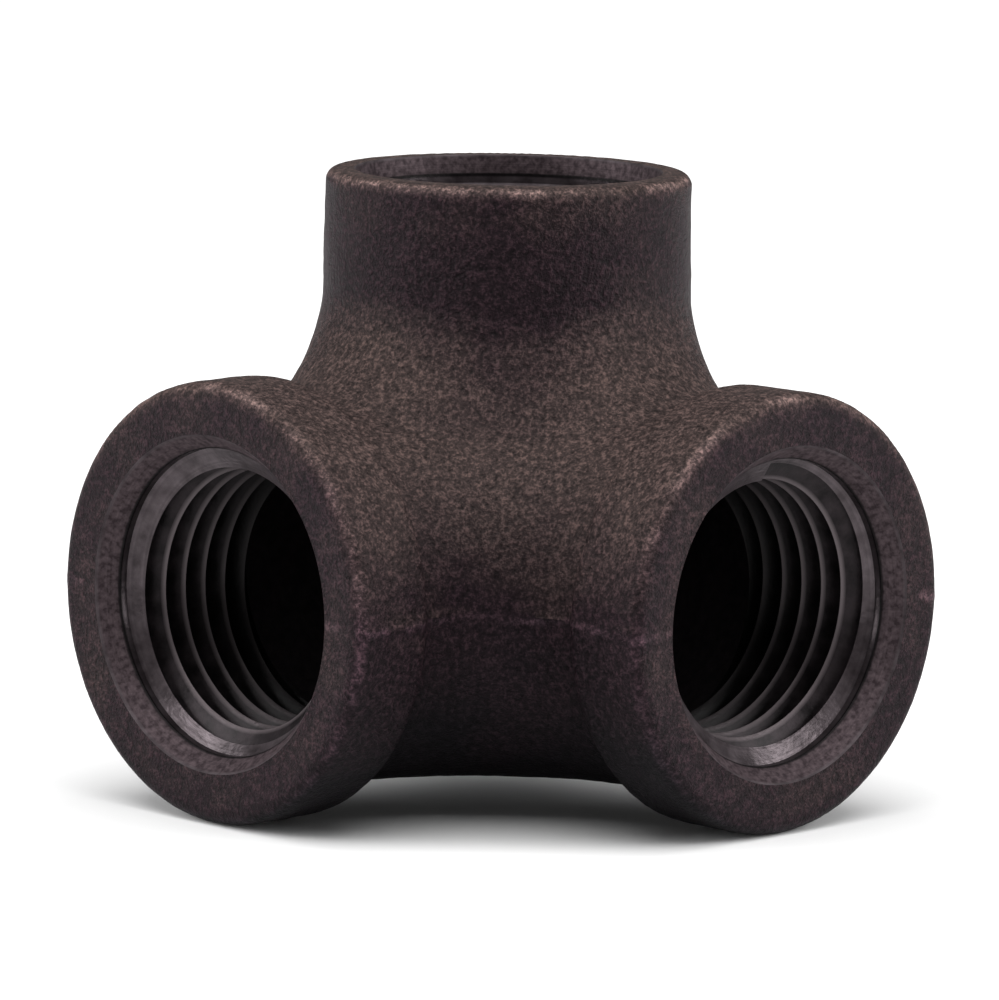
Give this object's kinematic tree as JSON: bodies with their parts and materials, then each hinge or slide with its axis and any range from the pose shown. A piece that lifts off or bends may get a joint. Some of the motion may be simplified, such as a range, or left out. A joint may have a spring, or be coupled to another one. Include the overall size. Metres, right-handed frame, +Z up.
{
  "type": "side outlet elbow",
  "caption": "Black cast iron corner elbow that joins pipes along mutually square axes, each port with a female taper pipe thread; reinforcing bands round the level ports, plain upright port.",
  "frame": {"origin": "the point where the axes of the ports cross", "axes": "+X out of one banded port, +Y out of the other banded port, +Z up and out of the plain port; the closed corner is towards -X, -Y and -Z"},
  "size_m": [0.0438, 0.0438, 0.0438],
  "materials": {
    "cast_iron": "sand-cast malleable iron, oiled black, with faced ports and tapped threads"
  },
  "bodies": {
    "root": {"side_outlet_elbow_casting": "cast_iron"}
  },
  "joints": []
}
